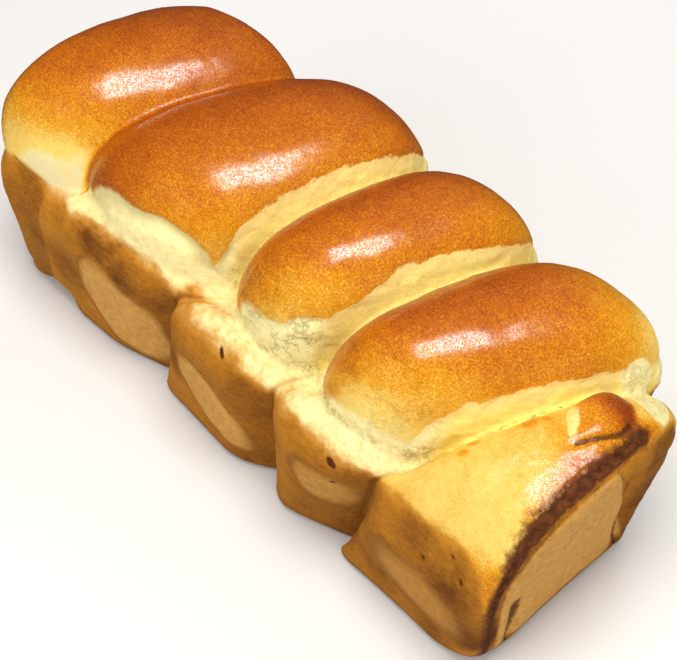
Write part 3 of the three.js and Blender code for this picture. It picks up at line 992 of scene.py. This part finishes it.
def bare_dough(w, marks, grain, crack, near_cracks):
    """Torn strips, brightest down in the groove by painted light, and the cream shoulder with
    painted shade in its recess and cracks: colour and mask.
    """
    torn, ledge, mottle = marks.torn, marks.ledge, grain.mottle
    fray = w.times(w.swing(mottle, -0.8, 0.8), w.spread(ledge, 0.0, 1.0, 1.0, 0.35))
    mask = w.spread(w.plus(torn, fray), -0.5, 0.4)
    # painted light: brighter yellow deeper in the groove
    strip = w.mix(w.spread(torn, 2.0, 7.0), TORN_PALE, TORN_PAINTED_LIGHT)
    strip = w.mix(w.spread(mottle, 0.50, 0.75, 0.0, 0.45), strip, TORN_PEACH)
    # painted shade: grey in the recess under the crust's edge, and in a band beside the cracks
    painted_shade = w.times(w.spread(torn, 4.0, 1.0, 0.0, 0.75), marks.greyed)
    painted_shade = w.larger(painted_shade, w.times(near_cracks, w.spread(grain.cloud, 0.40, 0.60)))
    shoulder = w.mix(w.spread(mottle, 0.45, 0.70, 0.0, 0.55), SHOULDER_CREAM, SHOULDER_GOLD)
    shoulder = w.mix(painted_shade, shoulder, SHOULDER_SHADE_GREY)
    # painted shade in the cracks
    shoulder = w.mix(w.times(crack, 0.8), shoulder, CRACK_SHADE_GREY)
    return w.mix(ledge, strip, shoulder), mask


def over_wall(w, marks, grain, colour):
    """The tin's wall: golden at its upper edge, darkest just under it, tan where it was pressed,
    with painted shade towards the creases and along the folds.
    """
    wall, pressed, mottle = marks.wall, marks.pressed, grain.mottle
    depth = w.plus(w.plus(wall, 0.8), w.swing(grain.cloud, -1.8, 1.8))
    depth = w.plus(depth, w.swing(mottle, -0.8, 0.8))
    colour = w.mix(w.spread(depth, -2.6, 1.5, 0.0, 0.85), colour, WALL_GOLD)
    # random clouds plus the shaded mark, whose part towards the creases is painted shade
    darkness = w.plus(w.swing(grain.cloud, 0.0, 0.35), marks.shaded)
    darkness = w.times(darkness, w.spread(depth, 1.0, 7.0, 0.3, 1.0))
    ring = w.times(w.spread(pressed, 0.0, 0.3), w.spread(pressed, 0.65, 0.3, 0.0, 0.7))
    darkness = w.larger(w.larger(darkness, ring), marks.foot)
    darkness = w.math("ADD", darkness, w.swing(grain.streak, -0.22, 0.28), clamp=True)
    wall_colour = w.mix(darkness, WALL_BROWN, WALL_DARK_AND_SHADE)
    pressed_colour = w.mix(w.spread(mottle, 0.35, 0.65), PRESSED_TAN, PRESSED_BROWN)
    wall_colour = w.mix(w.spread(pressed, 0.2, 0.8), wall_colour, pressed_colour)
    colour = w.mix(w.spread(depth, -1.0, 4.0), colour, wall_colour)
    # painted shade: a dark line along each crease down the tin's walls
    fold_shade = w.times(w.spread(marks.fold_line, 1.3, 0.3, 0.0, 0.5), w.spread(wall, -8.0, 2.0))
    return w.mix(fold_shade, colour, WALL_DARK_AND_SHADE)


def over_burns(w, marks, grain, colour):
    """The burnt lip, and painted shade in the slits, folds and blister pits, with the masks of the
    lip and the slits.
    """
    mottle = grain.mottle
    burn = w.plus(marks.burnt, w.swing(mottle, -1.9, 1.9))
    burn_mask = w.spread(burn, -2.6, 1.6)
    burn_colour = w.mix(w.spread(mottle, 0.40, 0.70), BURNT_AND_SHADE_BROWN, BURNT_LIGHT)
    colour = w.mix(burn_mask, colour, burn_colour)
    # painted shade in the slit beside the knob and in the folds of the front end
    slit = w.plus(marks.slit, w.swing(mottle, -0.5, 0.5))
    slit_mask = w.spread(slit, 1.3, 0.5, 0.0, 0.85)
    colour = w.mix(slit_mask, colour, BURNT_AND_SHADE_BROWN)
    # painted shade in the blister holes
    colour = w.mix(w.spread(marks.pits, -0.35, 0.25), colour, PIT_SHADE_BROWN)
    return colour, burn_mask, slit_mask


def crust_material():
    material = bpy.data.materials.new("egg_washed_crust")
    material.use_nodes = True
    tree = material.node_tree
    tree.nodes.clear()
    w = Wiring(tree)
    marks = Named(**{name: w.attribute(name) for name in MARKS})
    grain = make_grain(w)
    speckle, mottle = grain.speckle, grain.mottle

    crack, near_cracks = dough_cracks(w, marks, grain)
    bare_colour, bare_mask = bare_dough(w, marks, grain, crack, near_cracks)
    colour = w.mix(bare_mask, browned_crust(w, marks, grain), bare_colour)
    # painted shade along the seam where the first lobe lies against the pillow
    seam_shade = w.times(w.spread(marks.pillow_seam, 0.9, 0.2), w.spread(mottle, 0.40, 0.56, 0.0, 0.8))
    colour = w.mix(seam_shade, colour, CRACK_SHADE_GREY)
    colour = over_wall(w, marks, grain, colour)
    colour, burn_mask, slit_mask = over_burns(w, marks, grain, colour)

    # a fine net of wrinkles, and the cracks, in the bump
    wrinkle = w.spread(w.ridges(grain.net), 0.07, 0.01)
    height = w.minus(w.times(speckle, 0.6), w.times(wrinkle, 0.35))
    height = w.plus(height, w.times(mottle, w.spread(bare_mask, 0.0, 1.0, 0.8, 2.2)))
    height = w.minus(height, w.times(crack, 1.5))
    height = w.minus(height, near_cracks)
    bump = w.add("ShaderNodeBump", {
        "Strength": BUMP_STRENGTH, "Distance": BUMP_DISTANCE, "Height": height,
    })

    # egg wash: none on bare or burnt places or on the tin's wall, and broken up by the net
    bare = w.larger(w.larger(bare_mask, burn_mask), slit_mask)
    glaze = w.times(marks.shine, w.minus(1.0, bare))
    glaze = w.times(glaze, w.spread(marks.wall, 1.0, -3.0))
    coat = w.times(w.spread(speckle, 0.36, 0.52, 0.5, 1.0), w.spread(wrinkle, 0.0, 1.0, 1.0, 0.12))
    principled = w.add("ShaderNodeBsdfPrincipled", {
        "Base Color": colour,
        "Roughness": w.spread(glaze, 0.0, 1.0, BARE_ROUGHNESS, GLAZED_ROUGHNESS),
        "Specular IOR Level": CRUST_SPECULAR,
        "Coat Weight": w.times(glaze, coat),
        "Coat Roughness": COAT_ROUGHNESS,
        "Coat IOR": COAT_IOR,
        "Normal": bump.outputs["Normal"],
    })
    output = w.add("ShaderNodeOutputMaterial")
    tree.links.new(principled.outputs["BSDF"], output.inputs["Surface"])
    return material


def floor_material():
    material = bpy.data.materials.new("pale_floor")
    material.use_nodes = True
    principled = material.node_tree.nodes["Principled BSDF"]
    principled.inputs["Base Color"].default_value = srgb(238, 236, 232)
    principled.inputs["Roughness"].default_value = 0.8
    return material


# ---- the loaf ----
def add_object(name, data):
    thing = bpy.data.objects.new(name, data)
    bpy.context.scene.collection.objects.link(thing)
    return thing


def make_loaf():
    points, quads = loaf_skin()
    normals = skin_normals(points, quads)
    marks = bake_marks(points)
    colours = paint(marks)
    points = points + normals * relief(points, marks)[:, None]
    points[:, 2] = np.maximum(points[:, 2], 0.0)

    # the solid stands with its box's middle over the origin, so the skin is moved there too
    low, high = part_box("loaf")
    middle = np.array([(low.x + high.x) / 2, (low.y + high.y) / 2]) / MM
    own_middle = (points.min(axis=0) + points.max(axis=0)) / 2
    points[:, :2] += middle - own_middle[:2]

    mesh = bpy.data.meshes.new("loaf_skin")
    mesh.from_pydata((points * MM).tolist(), [], quads.tolist())
    for name, values in colours.items():
        layer = mesh.attributes.new(name, "FLOAT", "POINT")
        layer.data.foreach_set("value", values.astype(np.float32))
    mesh.polygons.foreach_set("use_smooth", np.ones(len(mesh.polygons), bool))
    mesh.update()
    loaf = add_object("braided_loaf", mesh)
    mesh.materials.append(crust_material())
    return loaf


# ---- stage, light and camera ----
FLOOR_HALF = 8.0
# name, place, what it is aimed at, width, height, power, and if the gloss mirrors it
LIGHTS = (
    ("overhead", (0.12, -0.06, 0.95), (0.0, 0.0, 0.08), 0.54, 0.44, 6.3, True),
    ("left_fill", (-0.2, -1.1, 0.7), (0.0, 0.0, 0.05), 0.9, 0.7, 5.2, False),
    ("front_fill", (1.2, -0.3, 0.5), (0.1, 0.0, 0.05), 0.8, 0.6, 4.4, False),
    ("rear_fill", (-0.5, 1.1, 0.8), (0.0, 0.0, 0.05), 1.0, 0.8, 4.0, False),
)
CEILING_STRENGTH = 0.9
CEILING_DEGREES = 150.0
WORLD_STRENGTH = 0.05


def make_floor():
    mesh = bpy.data.meshes.new("floor")
    half = FLOOR_HALF
    corners = [(-half, -half, 0.0), (half, -half, 0.0), (half, half, 0.0), (-half, half, 0.0)]
    mesh.from_pydata(corners, [], [(0, 1, 2, 3)])
    floor = add_object("floor", mesh)
    mesh.materials.append(floor_material())
    floor.visible_glossy = False


def soft_light(name, place, target, width, height, power, mirrored):
    light = bpy.data.lights.new(name, "AREA")
    light.shape = "RECTANGLE"
    light.size = width
    light.size_y = height
    light.energy = power
    lamp = add_object(name, light)
    lamp.location = place
    lamp.visible_glossy = mirrored
    lamp.rotation_euler = (Vector(target) - Vector(place)).to_track_quat("-Z", "Y").to_euler()


def ceiling_light():
    """Soft light from all of the sky's upper part, as a white ceiling gives."""
    light = bpy.data.lights.new("ceiling", "SUN")
    light.energy = CEILING_STRENGTH
    light.angle = math.radians(CEILING_DEGREES)
    add_object("ceiling", light).visible_glossy = False


def make_lights():
    world = bpy.data.worlds.new("studio")
    world.use_nodes = True
    background = world.node_tree.nodes["Background"]
    background.inputs["Color"].default_value = (1.0, 1.0, 1.0, 1.0)
    background.inputs["Strength"].default_value = WORLD_STRENGTH
    bpy.context.scene.world = world
    for light in LIGHTS:
        soft_light(*light)
    ceiling_light()


PHOTO_WIDTH = 677
SENSOR_MM = 36.0
CAMERA = Named(azimuth=45.7, elevation=53.1, roll=1.8, distance=0.8, focal_px=1986.0)
CAMERA_TARGET = (0.0094, 0.0013, 0.0442)
BOX_MIDDLE_OF_RULES = (0.0028, 0.0053)


def make_camera():
    azimuth = math.radians(CAMERA.azimuth)
    elevation = math.radians(CAMERA.elevation)
    back = Vector((
        math.sin(azimuth) * math.cos(elevation),
        -math.cos(azimuth) * math.cos(elevation),
        math.sin(elevation),
    ))
    right = Vector((math.cos(azimuth), math.sin(azimuth), 0.0))
    up = back.cross(right)
    roll = Matrix.Rotation(math.radians(CAMERA.roll), 4, back)
    turn = Matrix((right, up, back)).transposed().to_4x4()
    target = Vector(CAMERA_TARGET) - Vector((*BOX_MIDDLE_OF_RULES, 0.0))
    data = bpy.data.cameras.new("camera")
    data.sensor_width = SENSOR_MM
    data.lens = CAMERA.focal_px / PHOTO_WIDTH * SENSOR_MM
    data.clip_start = 0.01
    camera = add_object("camera", data)
    camera.matrix_world = Matrix.Translation(target + back * CAMERA.distance) @ roll @ turn
    bpy.context.scene.camera = camera


bpy.context.scene.view_settings.view_transform = "Standard"
make_camera()
make_lights()
make_floor()
loaf = make_loaf()
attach(loaf, "root")
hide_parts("loaf")
